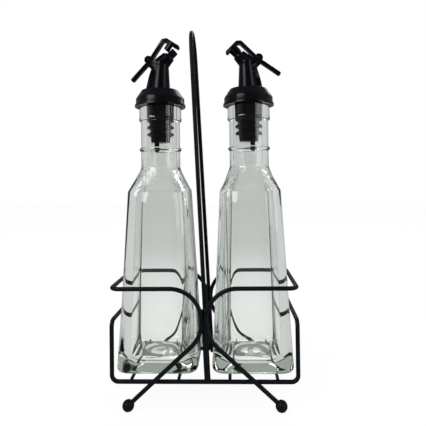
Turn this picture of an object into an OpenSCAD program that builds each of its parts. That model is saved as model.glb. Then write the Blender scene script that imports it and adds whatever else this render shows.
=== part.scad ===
// Cruet set: two square glass bottles with flip-lever pourers, standing in a welded wire rack.
// Millimetres. +X is right, +Y is back and +Z is up, and the front of the rack faces -Y.
// The origin is on the table, midway between the four ball feet.

/* [Bottle] */
// Width of the bottle's square foot, flat to flat
foot_w = 57.4; // [52:0.2:62]
// Width at the shoulder edge, flat to flat
shoulder_w = 43.8; // [40:0.2:50]
// Height of the tapered body, from the underside to the shoulder edge
body_h = 127.5; // [110:0.5:145]
// Width that each cut corner takes off a side, along most of the body
corner_cut = 6; // [4.5:0.1:9]
// Width that each cut corner takes off a side at the foot, where it narrows
foot_cut = 3.5; // [2.5:0.1:5]
// Height over which the cut corners widen from the foot
cut_rise = 50; // [30:1:70]
// Rounding where the foot meets the underside
heel_r = 4; // [2:0.5:6]
// Height of the sloping shoulder
shoulder_rise = 15.5; // [12:0.5:20]
// Diameter of the neck
neck_d = 29.2; // [27:0.2:30]
// Length of the neck, from its root to the lip of the finish
neck_len = 35; // [28:0.5:40]
// Diameter of the bead round the neck
bead_d = 31.4; // [30.5:0.1:32.5]
// Height of the bead above the neck's root
bead_rise = 13.5; // [8:0.5:20]
// Diameter of the finish, the thick band that the collar fits over
finish_d = 31.5; // [30.8:0.1:32.5]
// Height of the finish
finish_len = 19.2; // [15:0.2:22]
// Diameter of the neck's bore
bore_d = 20.6; // [19:0.1:22]
// Thickness of the glass at the middle of a panel
glass_t = 3.2; // [2.4:0.1:4.5]
// Thickness of the glass in the foot, under the raised inner floor
base_t = 8; // [6:0.5:12]
// Width of the hollow in the underside
hollow_w = 42; // [30:1:46]
// Depth of the hollow in the underside
hollow_h = 2.5; // [1:0.1:3.5]

/* [Rack] */
// Diameter of the rack's wire
wire_d = 3; // [2.5:0.1:3.6]
// Diameter of the wires that a bottle stands on
support_d = 2.2; // [1.8:0.1:3]
// Distance between the two wires under one bottle
support_spread = 32; // [24:1:40]
// Height of the bottom wires, to their centre
floor_z = 18.5; // [16:0.5:24]
// Height of the side rails, to their centre
rail_z = 59.5; // [50:0.5:68]
// Height of the hoops, to their centre
hoop_z = 82; // [76:0.5:92]
// Gap between a bottle's foot and the middle plane of the rack
middle_gap = 4.6; // [2.5:0.1:6]
// Gap between a bottle and the side rails, at the height of the rails
side_gap = 1.8; // [0.5:0.1:3]
// Gap between a bottle's foot and the front and rear wires of a hoop
depth_gap = 1.8; // [0.5:0.1:3]
// Bend radius where a hoop drops into its waist
upper_bend_r = 21.5; // [16:0.5:24]
// Length of the straight waist where two hoops meet
waist_len = 1.2; // [0.6:0.1:6]
// Bend radius where the waist spreads into a leg
lower_bend_r = 22; // [16:0.5:28]
// Angle of a leg above the table
leg_angle = 42.5; // [36:0.5:48]
// Bend radius at the corners of a hoop
hoop_corner_r = 6; // [4:0.5:10]
// Bend radius at the corners of the base frame
frame_corner_r = 4.5; // [3:0.5:8]
// Height of the cut upper ends of the posts
post_top = 67; // [62:0.5:74]
// Diameter of a ball foot
ball_d = 8; // [6.5:0.1:10]
// Diameter of the worn flat that a ball foot stands on
ball_flat_d = 2.4; // [1.5:0.1:4]

/* [Handle] */
// Height of the top of the handle
handle_top = 268; // [240:1:300]
// Bend radius of the round top of the handle
handle_r = 18.5; // [12:0.5:22]
// Distance of the handle's feet from the middle plane of the rack
handle_x = 2.4; // [0:0.1:4]
// Distance of the front post's foot from the middle plane of the rack
front_post_x = 1.6; // [0:0.1:2]
// Distance of the rear post's foot from the middle plane of the rack
rear_post_x = -0.4; // [-1:0.1:2]
// Sideways lean of the handle and posts, in degrees
handle_lean = 2.5; // [0:0.05:3]

/* [Pourer] */
// Outside diameter of the collar's wall
collar_d = 36.4; // [35.6:0.1:40]
// Outside diameter of the lip at the collar's lower edge
lip_d = 38; // [37:0.1:42]
// Height of the lip
lip_h = 2.4; // [1.5:0.1:4]
// Depth of the collar's skirt below the bottle's mouth
skirt_h = 8.6; // [7:0.1:12]
// Thickness of the collar's top
collar_top_t = 3.8; // [3:0.1:5]
// Width that the collar's sloping upper edge takes off its top
collar_bevel_w = 4.2; // [3:0.1:6]
// Height of the collar's sloping upper edge
collar_bevel_h = 6.4; // [4:0.1:7]
// Diameter of the stem where it leaves the collar
stem_d = 15.2; // [14:0.1:17]
// Diameter of the stem at the elbow
elbow_d = 10.8; // [10:0.1:12]
// Height of the elbow's centre above the bottle's mouth
elbow_z = 23.6; // [21:0.1:27]
// Distance of the elbow's centre from the bottle's axis, towards the spout
elbow_x = 1.2; // [0:0.1:3]
// Angle of the spout above the horizontal
spout_angle = 45; // [38:1:52]
// Length of the spout from the elbow's centre to its end face
spout_len = 9.2; // [8:0.1:12]
// Diameter of the spout at its end face
spout_d = 8; // [7.2:0.1:9]
// Diameter of the nozzle
nozzle_d = 5.8; // [4.6:0.1:6.4]
// Length of the nozzle beyond the spout's end face
nozzle_len = 5.4; // [3.5:0.1:6]
// Diameter of the oil passage
passage_d = 3.4; // [2.6:0.1:3.6]
// Thickness of the back rib
rib_t = 2.2; // [1.6:0.1:3]
// Height of the back rib above the stem and spout
rib_rise = 1.2; // [0.8:0.1:1.5]
// How much further the back rib stands out at the foot of the stem
rib_flare = 2.2; // [0:0.1:3]
// Diameter of the spigot under the collar
spigot_d = 12; // [11.4:0.1:13]

/* [Lever] */
// Distance of the pivot from the bottle's axis, away from the spout
pivot_x = 8; // [6.5:0.1:8.6]
// Height of the pivot above the bottle's mouth
pivot_z = 26.8; // [26:0.1:30]
// Diameter of the hinge pin
pin_d = 2; // [1.6:0.1:2.4]
// Diameter of the round end of an ear
ear_d = 6.2; // [5:0.1:7]
// Thickness of an ear
ear_t = 1.8; // [1.4:0.1:2.4]
// Width of the lever
lever_w = 4.6; // [4:0.1:6]
// Thickness of the lever's strip
lever_t = 2.5; // [1.8:0.1:2.7]
// Length of the tail that a finger presses, from the pivot
tail_len = 19; // [16:0.5:24]
// Angle of the tail below the line of the arm, in degrees
tail_bend = 10; // [0:1:16]
// Length of the end plate past the spout's axis
plate_reach = 4; // [2:0.1:5]
// Opening of the left lever as it stands, in degrees
left_open = 12; // [0:1:30]
// Opening of the right lever as it stands, in degrees
right_open = 0; // [0:1:30]

/* [Stopper] */
// Length of the stopper's plain upper part, which fills the neck
plug_len = 20; // [16:0.5:22]
// Diameter of the stopper's core under the plain part
core_top_d = 16.6; // [15:0.1:18]
// Diameter of the stopper's core at its lower end
core_end_d = 14; // [13.4:0.1:16]
// Length of the stopper below the bottle's mouth
stopper_len = 35.5; // [30:0.5:42]
// Number of sealing fins
fin_count = 2; // [1:1:2]
// Outside diameter of the air tube
tube_d = 3.6; // [3:0.1:4.2]
// Length of the air tube below the stopper
tube_drop = 6.4; // [4:0.1:12]
// Depth that the air tube is pushed up into the spigot
tube_grip = 8; // [5:0.5:12]
// Distance of the air tube from the bottle's axis
tube_x = 2.9; // [2.7:0.1:3.4]

/* [Fits] */
// Gap left between wires that are welded where they touch
weld_gap = 0.04; // [0.02:0.01:0.2]
// Radial clearance of parts that are pushed together and stay put
push_gap = 0.02; // [0.01:0.01:0.05]
// Radial clearance of the lever on its pin
pin_gap = 0.05; // [0.02:0.01:0.1]
// Gap between the lever and each ear
ear_gap = 0.3; // [0.2:0.05:0.5]
// Radial clearance of the stopper's fins in the neck
fin_gap = 0.1; // [0.05:0.05:0.4]
// Radial clearance between the collar's skirt and the finish
skirt_gap = 0.35; // [0.2:0.05:0.6]
// Gap between the closed lever's pad and the nozzle
seat_gap = 0.15; // [0.05:0.05:0.4]

/* [Hidden] */

// Sides of round pieces, of the bottles' rings, and the steps of a rounded edge
round_fn = 48;
ring_fn = 64;
edge_steps = 4;
// A little extra so that a cut runs clear of a face
cut = 1;
// How much fatter a wire is in a bend, and how far a straight reaches into it
bend_swell = 0.03;
bend_lap = 0.2;

// Places of the rack's wires, worked out from the bottles that it holds
wire_r = wire_d / 2;
bottle_x = middle_gap + foot_w / 2;
hoop_y = foot_w / 2 + depth_gap + wire_r;
frame_y = hoop_y - wire_d - weld_gap;
handle_y = frame_y - wire_d - weld_gap;
support_z = floor_z + wire_r + weld_gap + support_d / 2;
bottle_z = support_z + support_d / 2;
rack_x = bottle_x + body_flat(rail_z - bottle_z) + side_gap + wire_r;

// Waist, leg and foot of a hoop
waist_x = wire_r + weld_gap / 2;
waist_top_z = hoop_z - upper_bend_r;
waist_low_z = waist_top_z - waist_len;
ball_z = sqrt(pow(ball_d / 2, 2) - pow(ball_flat_d / 2, 2));
bend_end_x = waist_x + lower_bend_r * (1 - sin(leg_angle));
bend_end_z = waist_low_z - lower_bend_r * cos(leg_angle);
foot_x = bend_end_x + (bend_end_z - ball_z) / tan(leg_angle);

// Softness of the bottle's outer edges and of its cavity: a higher power is squarer
edge_power = 24;
cavity_power = 7;
// Distance of the cavity's rounded corners from the axis, as a share of its half width
cavity_corner = 1.2;
// Rounding of the inner floor and its steps, softness of the shoulder's edge, steps and bow of the shoulder
floor_round_r = 12;
floor_steps = 6;
shoulder_soft = 2;
shoulder_steps = 6;
shoulder_bow = 0.9;
// How far the shoulder's last ring lies inside the neck, the neck's flared root, and its beads
neck_lap = 0.4;
neck_flare = 0.8;
flare_rise = 3;
bead_r = 1.3;
lip_proud = 0.25;

// Heights on the bottle, above its underside
neck_z = body_h + shoulder_rise;
lip_z = neck_z + neck_len;
bottle_h = lip_z + finish_len;
mouth_z = bottle_z + bottle_h;
neck_r = neck_d / 2;
bore_r = bore_d / 2;

// Points along the pourer, in the plane of its spout
elbow = [elbow_x, elbow_z];
pivot = [-pivot_x, pivot_z];
along = [cos(spout_angle), sin(spout_angle)];
across = [-sin(spout_angle), cos(spout_angle)];
spout_end = elbow + spout_len * along;
nozzle_end = spout_end + nozzle_len * along;
stem_low = [0, collar_top_t - cut];

// Small features of the pourer: collar's edge, rib, elbow, ears, nozzle bore, vent, fins and tube tip
bevel_steps = 8;
bevel_power = 1.5;
rib_steps = 6;
elbow_swell = 0.2;
ear_len = 9.5;
nozzle_bore_d = 3;
vent_d = 1.6;
fin_h = 3;
fin_rim_t = 0.7;
tip_swell = 1.2;
// Wall of the lever's barrel round the pin, how far inside the pivot the arm runs, and its rounded corner
barrel_t = 1.05;
arm_off = 0.6;
arm_round = 2;
// Shield round the nozzle and grip ribs under the lever's tail
shield_gap = 0.5;
shield_t = 1.1;
shield_angle = 150;
grip_count = 3;
grip_pitch = 1.6;
grip_d = 0.9;

// The lever's strip, closed: the plate lies on the nozzle and the arm runs back beside the pivot
barrel_d = pin_d + 2 * barrel_t;
plate_mid = nozzle_end + (seat_gap + lever_t / 2) * along;
arm_rise = (pivot - plate_mid) * across - arm_off;
arm_corner = plate_mid + arm_rise * across;
arm_start = pivot - arm_off * across;
tail_dir = [-cos(spout_angle - tail_bend), -sin(spout_angle - tail_bend)];
tail_end = arm_start + tail_len * tail_dir;
plate_end = plate_mid - plate_reach * across;

steel_black = [0.05, 0.05, 0.055];
plastic_black = [0.03, 0.03, 0.035];
rubber_black = [0.06, 0.06, 0.06];
glass_tint = [0.78, 0.86, 0.82, 0.45];

// Bent wire

// One straight rod from the origin along +Z
module rod(length, d) {
  cylinder(d = d, h = length, $fn = round_fn);
}

// One bend from the origin that turns the wire from +Z towards +X
module bend(r, angle, d) {
  translate([r, 0, 0])
    rotate([90, 0, 180])
      rotate_extrude(angle = angle, $fn = 2 * round_fn)
        translate([r, 0])
          circle(d = d, $fn = round_fn);
}

// A wire as a bender makes it, from the origin along +Z.
// Each step is [feed length, bend radius, bend angle, roll of the bend about the wire].
// The wire is a touch fatter in a bend, and each straight reaches a little way into it.
module bent_wire(steps, d, i = 0) {
  step = steps[i];
  last = len(steps) - 1;
  start_lap = i > 0 ? bend_lap : 0;
  end_lap = i < last ? bend_lap : 0;
  translate([0, 0, -start_lap])
    rod(start_lap + step[0] + end_lap, d);
  if (i < last)
    translate([0, 0, step[0]])
      rotate([0, 0, step[3]]) {
        bend(step[1], step[2], d + bend_swell);
        translate([step[1], 0, 0])
          rotate([0, step[2], 0])
            translate([-step[1], 0, 0])
              bent_wire(steps, d, i + 1);
      }
}

// Rack

// A hoop is one wire: front foot, leg, waist, round the bottle, waist, leg, rear foot
module hoop() {
  leg_len = (foot_x - bend_end_x) / cos(leg_angle);
  front_len = rack_x - waist_x - upper_bend_r - hoop_corner_r;
  side_len = 2 * (hoop_y - hoop_corner_r);
  spread = 90 - leg_angle;
  color(steel_black)
    translate([-foot_x, -hoop_y, ball_z])
      rotate([0, spread, 0])
        bent_wire([
          [leg_len, lower_bend_r, spread, 180],
          [waist_len, upper_bend_r, 90, 0],
          [front_len, hoop_corner_r, 90, -90],
          [side_len, hoop_corner_r, 90, 0],
          [front_len, upper_bend_r, 90, 90],
          [waist_len, lower_bend_r, spread, 0],
          [leg_len]], wire_d);
}

module left_hoop() { hoop(); }
module right_hoop() { rotate([0, 0, 180]) hoop(); }

// The base frame is one closed wire: a front and a rear U whose arms bend over into the side rails.
// Its ends meet in a butt weld in the middle of the front.
module base_frame() {
  half_len = rack_x - frame_corner_r;
  arm_len = rail_z - floor_z - 2 * frame_corner_r;
  side_len = 2 * (frame_y - frame_corner_r);
  color(steel_black)
    translate([0, -frame_y, floor_z])
      rotate([0, 90, 0]) {
        bent_wire([
          [half_len, frame_corner_r, 90, 180],
          [arm_len, frame_corner_r, 90, -90],
          [side_len, frame_corner_r, 90, 0],
          [arm_len, frame_corner_r, 90, 90],
          [2 * half_len, frame_corner_r, 90, 0],
          [arm_len, frame_corner_r, 90, -90],
          [side_len, frame_corner_r, 90, 0],
          [arm_len, frame_corner_r, 90, 90],
          [half_len]], wire_d);
        translate([0, 0, -bend_lap])
          rod(2 * bend_lap, wire_d + bend_swell);
      }
}

// Leans what stands on the bottom wires a little to the left
module leaning() {
  translate([0, 0, floor_z])
    rotate([0, -handle_lean, 0])
      translate([0, 0, -floor_z])
        children();
}

// A rod along Y, centred on a place
module cross_rod(at, length, d) {
  translate(at)
    rotate([90, 0, 0])
      cylinder(d = d, h = length, center = true, $fn = round_fn);
}

// A post is a wire coped onto a bottom wire
module post(side, x) {
  color(steel_black)
    difference() {
      leaning()
        translate([x, side * frame_y, floor_z])
          rod(post_top - floor_z, wire_d);
      translate([0, side * frame_y, floor_z])
        rotate([0, 90, 0])
          cylinder(d = wire_d + 2 * weld_gap, h = 4 * wire_d, center = true, $fn = round_fn);
    }
}

module front_post() { post(-1, front_post_x); }
module rear_post() { post(1, rear_post_x); }

// The handle is one tall narrow loop whose legs stand inside the bottom wires
module handle_loop() {
  foot_z = floor_z - wire_r;
  arch_z = handle_top - wire_r - handle_r;
  slant = norm([handle_y, arch_z - foot_z]);
  tilt = atan2(handle_y, arch_z - foot_z) - asin(handle_r / slant);
  leg_len = sqrt(slant * slant - handle_r * handle_r);
  color(steel_black)
    leaning()
      translate([handle_x, -handle_y, foot_z])
        rotate([-tilt, 0, 0])
          bent_wire([[leg_len, handle_r, 180 - 2 * tilt, 90], [leg_len]], wire_d);
}

// A support lies across the two bottom wires
module support(x) {
  color(steel_black)
    cross_rod([x, 0, support_z], 2 * frame_y + wire_d, support_d);
}

module left_outer_support() { support(-bottle_x - support_spread / 2); }
module left_inner_support() { support(-bottle_x + support_spread / 2); }
module right_inner_support() { support(bottle_x - support_spread / 2); }
module right_outer_support() { support(bottle_x + support_spread / 2); }

// A ball foot has a socket for the leg's end and a small flat to stand on
module ball_foot(side, end) {
  color(steel_black)
    difference() {
      translate([side * foot_x, end * hoop_y, ball_z]) {
        difference() {
          sphere(d = ball_d, $fn = round_fn);
          rotate([0, side * (leg_angle - 90), 0])
            translate([0, 0, -push_gap])
              rod(ball_d, wire_d + 2 * push_gap);
        }
      }
      translate([side * foot_x - ball_d, end * hoop_y - ball_d, -ball_d])
        cube([2 * ball_d, 2 * ball_d, ball_d]);
    }
}

module left_front_foot() { ball_foot(-1, -1); }
module right_front_foot() { ball_foot(1, -1); }
module left_rear_foot() { ball_foot(-1, 1); }
module right_rear_foot() { ball_foot(1, 1); }

// Bottles

// Distance from the axis to the wall of a soft-edged octagon whose flats are one unit away.
// corner is the distance to its cut corners, and a lower power makes it rounder.
function octagon(angle, corner, power) = pow(
  pow(abs(cos(angle)), power) + pow(abs(sin(angle)), power)
  + pow(abs(cos(angle - 45)) / corner, power) + pow(abs(sin(angle - 45)) / corner, power), -1 / power);

// Distance from the axis to the flats of the tapered body at a height
function body_flat(z) = (foot_w - (foot_w - shoulder_w) * z / body_h) / 2;

// Width of the cut corners at a height, and their distance from the axis as a share of the half width
function cut_width(z) = foot_cut + (corner_cut - foot_cut) * min(1, z / cut_rise);
function cut_corner(z, flat) = (2 - cut_width(z) / flat) / sqrt(2);

// Direction of a ring's point from the axis; the points crowd towards the corners
function ring_angle(i) =
  let (quarter = ring_fn / 4, step = 2 * (i % quarter) / quarter - 1)
  90 * floor(i / quarter) + 45 * (1 + step * abs(step));

// One ring of a bottle: an octagon of half width flat, blended towards a circle by a share from 0 to 1
function bottle_ring(z, flat, corner, power, circle_r, share) = [
  for (i = [0 : ring_fn - 1])
    let (angle = ring_angle(i),
      r = (1 - share) * flat * octagon(angle, corner, power) + share * circle_r)
    [r * cos(angle), r * sin(angle), z]];

// One ring of the bottle's outside, and one of its cavity
function outer_ring(z, flat, circle_r = 0, share = 0) =
  bottle_ring(z, flat, cut_corner(z, flat), edge_power, circle_r, share);
function inner_ring(z, flat, circle_r = 0, share = 0) =
  bottle_ring(z, flat, cavity_corner, cavity_power, circle_r, share);

// A closed solid through rings of equal length, lowest first
module loft(rings) {
  n = len(rings[0]);
  top = len(rings) - 1;
  sides = [for (k = [0 : top - 1], i = [0 : n - 1])
    let (j = (i + 1) % n)
    each [[k * n + i, k * n + n + i, k * n + n + j], [k * n + i, k * n + n + j, k * n + j]]];
  floor_face = [for (i = [0 : n - 1]) i];
  roof_face = [for (i = [n - 1 : -1 : 0]) top * n + i];
  polyhedron([for (ring = rings) each ring], concat([floor_face], sides, [roof_face]), convexity = 4);
}

// Outside of the foot, body and shoulder; the last ring ends inside the neck
module bottle_outside() {
  heel = [for (k = [0 : edge_steps])
    let (turn = 90 * k / edge_steps, z = heel_r * (1 - cos(turn)))
    outer_ring(z, body_flat(z) - heel_r * (1 - sin(turn)))];
  body = [for (z = [cut_rise, body_h - shoulder_soft]) outer_ring(z, body_flat(z))];
  shoulder = [for (k = [0 : shoulder_steps])
    let (share = k / shoulder_steps)
    outer_ring(body_h + shoulder_rise * share, body_flat(body_h) - shoulder_soft / 2,
      neck_r - neck_lap, pow(share, shoulder_bow))];
  loft(concat(heel, body, shoulder));
}

// Inside of the bottle, rounder than the outside; the last ring ends inside the neck's bore
module bottle_inside() {
  floor_rings = [for (k = [0 : floor_steps])
    let (turn = 90 * k / floor_steps, z = base_t + floor_round_r * (1 - cos(turn)))
    inner_ring(z, body_flat(z) - glass_t - floor_round_r * (1 - sin(turn)))];
  shoulder = [for (k = [0 : shoulder_steps])
    let (share = k / shoulder_steps)
    inner_ring(body_h - glass_t + shoulder_rise * share, body_flat(body_h) - glass_t,
      bore_r - neck_lap, pow(share, shoulder_bow))];
  loft(concat(floor_rings, shoulder));
}

// Neck with its bead, and the thicker finish that the collar covers
module bottle_neck() {
  root_z = neck_z - shoulder_rise / 3;
  rotate_extrude($fn = 2 * round_fn) {
    translate([0, root_z])
      square([neck_r, bottle_h - root_z]);
    polygon([[0, root_z], [neck_r + neck_flare, root_z],
      [neck_r, neck_z + flare_rise], [0, neck_z + flare_rise]]);
    translate([bead_d / 2 - bead_r, neck_z + bead_rise])
      circle(r = bead_r, $fn = round_fn);
    translate([0, lip_z])
      square([finish_d / 2, finish_len]);
    translate([finish_d / 2 - bead_r + lip_proud, lip_z + bead_r])
      circle(r = bead_r, $fn = round_fn);
  }
}

module bottle(side) {
  hollow_r = (pow(hollow_w / 2, 2) + pow(hollow_h, 2)) / (2 * hollow_h);
  color(glass_tint)
    translate([side * bottle_x, 0, bottle_z])
      difference() {
        union() {
          bottle_outside();
          bottle_neck();
        }
        bottle_inside();
        translate([0, 0, body_h])
          cylinder(r = bore_r, h = bottle_h, $fn = 2 * round_fn);
        translate([0, 0, hollow_h - hollow_r])
          sphere(r = hollow_r, $fn = 2 * round_fn);
      }
}

module left_bottle() { bottle(-1); }
module right_bottle() { bottle(1); }

// Pourers, drawn about the bottle's axis with the mouth at z = 0 and the spout towards +X

// Puts a pourer on a bottle, its spout towards the middle of the rack
module on_mouth(side) {
  translate([side * bottle_x, 0, mouth_z])
    rotate([0, 0, side < 0 ? 0 : 180])
      children();
}

// A flat plate in the plane of the spout, from an outline in X and Z
module plate(t) {
  rotate([90, 0, 0])
    linear_extrude(t, center = true)
      children();
}

// A place in the plane of the spout, turned so that +Z runs along an angle above +X
module aim(at, angle) {
  translate([at[0], 0, at[1]])
    rotate([0, 90 - angle, 0])
      children();
}

// A strip of even thickness through points, with round ends and corners
module strip(points, t) {
  for (i = [0 : len(points) - 2]) {
    step = points[i + 1] - points[i];
    translate(points[i])
      rotate(atan2(step[1], step[0]))
        translate([0, -t / 2])
          square([norm(step), t]);
  }
  for (p = points)
    translate(p)
      circle(d = t, $fn = round_fn);
}

// Collar with a bowed, sloping upper edge and a lip round its lower edge
module collar() {
  collar_r = collar_d / 2;
  skirt_r = finish_d / 2 + skirt_gap;
  lip_r = lip_d / 2;
  lip_slope = (lip_d - collar_d) / 2;
  bevel = [for (k = [0 : bevel_steps])
    let (turn = 90 * k / bevel_steps)
    [collar_r - collar_bevel_w * (1 - pow(cos(turn), bevel_power)),
      collar_top_t - collar_bevel_h * (1 - pow(sin(turn), bevel_power))]];
  rotate_extrude($fn = 2 * round_fn)
    polygon(concat(
      [[0, 0], [skirt_r, 0], [skirt_r, -skirt_h], [lip_r, -skirt_h],
        [lip_r, -skirt_h + lip_h - lip_slope], [collar_r, -skirt_h + lip_h]],
      bevel, [[0, collar_top_t]]));
}

// Stem, elbow, spout and nozzle
module spout_body() {
  stem = elbow - stem_low;
  aim(stem_low, atan2(stem[1], stem[0]))
    cylinder(d1 = stem_d, d2 = elbow_d, h = norm(stem), $fn = round_fn);
  translate([elbow[0], 0, elbow[1]])
    sphere(d = elbow_d + elbow_swell, $fn = round_fn);
  aim(elbow, spout_angle)
    cylinder(d1 = elbow_d, d2 = spout_d, h = spout_len, $fn = round_fn);
  aim(elbow, spout_angle)
    cylinder(d = nozzle_d, h = spout_len + nozzle_len, $fn = round_fn);
}

// Thin rib up the back of the stem, flared at its foot, and along the top of the spout
module back_rib() {
  stem = elbow - stem_low;
  back = [-stem[1], stem[0]] / norm(stem);
  flare = [for (k = [0 : rib_steps])
    let (share = k / rib_steps, stem_r = (stem_d + (elbow_d - stem_d) * share) / 2)
    stem_low + share * stem + back * (stem_r + rib_rise + rib_flare * (1 - share * share))];
  plate(rib_t)
    polygon(concat([stem_low], flare, [elbow + across * (elbow_d / 2 + rib_rise),
      spout_end + across * (spout_d / 2 + rib_rise) - along, spout_end - along, elbow]));
}

// Two ears that carry the hinge pin
module ears() {
  for (side = [-1, 1])
    translate([0, side * (lever_w / 2 + ear_gap + ear_t / 2), 0])
      plate(ear_t) {
        translate(pivot)
          circle(d = ear_d, $fn = round_fn);
        translate(pivot)
          rotate(spout_angle - 90)
            translate([0, -ear_d / 2])
              square([ear_len, ear_d]);
      }
}

// The pouring spout is one moulding: collar, stem, spout, rib, ears and the spigot in the neck
module spout(side) {
  color(plastic_black)
    on_mouth(side)
      difference() {
        union() {
          collar();
          spout_body();
          back_rib();
          ears();
          translate([0, 0, -stopper_len])
            cylinder(d = spigot_d, h = stopper_len + cut, $fn = round_fn);
        }
        translate([elbow_x, 0, -stopper_len - cut])
          cylinder(d = passage_d, h = stopper_len + cut + elbow_z, $fn = round_fn);
        aim(elbow, spout_angle)
          cylinder(d = nozzle_bore_d, h = spout_len + nozzle_len + cut, $fn = round_fn);
        translate([-tube_x, 0, -stopper_len - cut])
          cylinder(d = tube_d + 2 * push_gap, h = cut + tube_grip, $fn = round_fn);
        translate([-tube_x, 0, -stopper_len])
          cylinder(d = vent_d, h = stopper_len + 2 * elbow_z, $fn = round_fn);
        translate([pivot[0], 0, pivot[1]])
          rotate([90, 0, 0])
            cylinder(d = pin_d + 2 * push_gap, h = 4 * lever_w, center = true, $fn = round_fn);
      }
}

module left_spout() { spout(-1); }
module right_spout() { spout(1); }

// Finned stopper sleeve on the spigot
module stopper(side) {
  hole_r = spigot_d / 2 + push_gap;
  rim_r = bore_r - fin_gap;
  core_len = stopper_len - plug_len;
  fins = [for (k = [1 : fin_count])
    let (
      share = k / (fin_count + 1),
      z = -plug_len - share * core_len,
      core_r = core_top_d / 2 * (1 - share) + core_end_d / 2 * share
    )
    each [[core_r, z + fin_h], [rim_r, z + fin_rim_t], [rim_r, z], [core_r, z - fin_rim_t]]];
  color(rubber_black)
    on_mouth(side)
      rotate_extrude($fn = 2 * round_fn)
        polygon(concat(
          [[hole_r, 0], [rim_r, 0], [rim_r, -plug_len], [core_top_d / 2, -plug_len - fin_rim_t]],
          fins, [[core_end_d / 2, -stopper_len], [hole_r, -stopper_len]]));
}

module left_stopper() { stopper(-1); }
module right_stopper() { stopper(1); }

// Air tube with a round tip, pushed up into the spigot
module air_tube(side) {
  tip_z = -stopper_len - tube_drop + tube_d / 2;
  color(plastic_black)
    on_mouth(side)
      translate([-tube_x, 0, 0])
        difference() {
          union() {
            translate([0, 0, tip_z])
              cylinder(d = tube_d, h = tube_drop - tube_d / 2 + tube_grip - push_gap, $fn = round_fn);
            translate([0, 0, tip_z])
              sphere(d = tube_d + tip_swell, $fn = round_fn);
          }
          translate([0, 0, tip_z - tube_d])
            cylinder(d = vent_d, h = tube_d + tube_drop + tube_grip + cut, $fn = round_fn);
        }
}

module left_air_tube() { air_tube(-1); }
module right_air_tube() { air_tube(1); }

// Half ring under the lever's plate, on the side of the arm, that shields the nozzle
module nozzle_shield() {
  shield_len = nozzle_len - shield_gap;
  aim(nozzle_end + (seat_gap - shield_len) * along, spout_angle)
    rotate([0, 0, 180 - shield_angle / 2])
      rotate_extrude(angle = shield_angle, $fn = 2 * round_fn)
        translate([nozzle_d / 2 + shield_gap, 0])
          square([shield_t, shield_len + lever_t / 2]);
}

// Flip lever: end plate over the nozzle, arm, barrel on the pin, and a ribbed tail for the finger
module closed_lever() {
  difference() {
    union() {
      plate(lever_w)
        strip([plate_end, arm_corner - arm_round * across, arm_corner - arm_round * along, arm_start,
          tail_end], lever_t);
      plate(lever_w)
        translate(pivot)
          circle(d = barrel_d, $fn = round_fn);
      nozzle_shield();
      for (k = [0 : grip_count - 1])
        translate([tail_end[0], 0, tail_end[1]] - k * grip_pitch * [tail_dir[0], 0, tail_dir[1]]
            + (lever_t / 2) * [-tail_dir[1], 0, tail_dir[0]])
          rotate([90, 0, 0])
            cylinder(d = grip_d, h = lever_w - 2 * grip_d, center = true, $fn = round_fn);
    }
    translate([pivot[0], 0, pivot[1]])
      rotate([90, 0, 0])
        cylinder(d = pin_d + 2 * pin_gap, h = 2 * lever_w, center = true, $fn = round_fn);
  }
}

module lever(side, opening) {
  color(plastic_black)
    on_mouth(side)
      translate([pivot[0], 0, pivot[1]])
        rotate([0, -opening, 0])
          translate([-pivot[0], 0, -pivot[1]])
            closed_lever();
}

module left_lever() { lever(-1, left_open); }
module right_lever() { lever(1, right_open); }

// Hinge pin, flush with the outer faces of the ears
module hinge_pin(side) {
  color(plastic_black)
    on_mouth(side)
      translate([pivot[0], 0, pivot[1]])
        rotate([90, 0, 0])
          cylinder(d = pin_d, h = lever_w + 2 * ear_gap + 2 * ear_t, center = true, $fn = round_fn);
}

module left_hinge_pin() { hinge_pin(-1); }
module right_hinge_pin() { hinge_pin(1); }

left_hoop();
right_hoop();
base_frame();
front_post();
rear_post();
handle_loop();
left_outer_support();
left_inner_support();
right_inner_support();
right_outer_support();
left_front_foot();
right_front_foot();
left_rear_foot();
right_rear_foot();
left_bottle();
right_bottle();
left_spout();
left_stopper();
left_air_tube();
left_lever();
left_hinge_pin();
right_spout();
right_stopper();
right_air_tube();
right_lever();
right_hinge_pin();
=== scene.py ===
"""Cruet set: square glass bottles with flip-lever pourers in a bent-wire rack.

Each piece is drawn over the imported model's solid and rides on that solid's body."""

import math

import bmesh
import bpy
from bpy.props import FloatProperty, FloatVectorProperty, IntProperty, PointerProperty
from mathutils import Matrix, Vector


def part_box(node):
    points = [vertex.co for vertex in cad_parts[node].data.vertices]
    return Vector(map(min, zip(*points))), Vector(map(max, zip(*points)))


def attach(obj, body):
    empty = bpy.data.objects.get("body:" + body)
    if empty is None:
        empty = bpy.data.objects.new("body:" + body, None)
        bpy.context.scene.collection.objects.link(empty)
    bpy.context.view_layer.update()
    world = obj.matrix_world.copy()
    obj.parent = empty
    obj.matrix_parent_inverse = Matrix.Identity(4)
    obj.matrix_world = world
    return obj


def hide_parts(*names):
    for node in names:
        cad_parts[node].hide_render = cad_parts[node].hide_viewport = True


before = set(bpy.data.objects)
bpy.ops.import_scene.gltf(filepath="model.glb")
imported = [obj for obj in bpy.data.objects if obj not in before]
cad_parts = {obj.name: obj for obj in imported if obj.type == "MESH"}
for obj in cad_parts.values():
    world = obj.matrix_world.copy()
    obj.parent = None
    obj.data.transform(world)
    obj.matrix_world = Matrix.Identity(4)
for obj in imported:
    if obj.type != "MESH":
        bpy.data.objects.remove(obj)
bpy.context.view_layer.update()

bl_info = {
    "name": "Cruet set",
    "version": (1, 0, 0),
    "blender": (4, 5, 0),
    "location": "3D View > Sidebar > Cruet",
    "description": "Builds a pair of glass bottles with flip-lever pourers in a wire rack",
    "category": "Add Mesh",
}

MM = 0.001
SIDES = {"left": -1, "right": 1}

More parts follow.
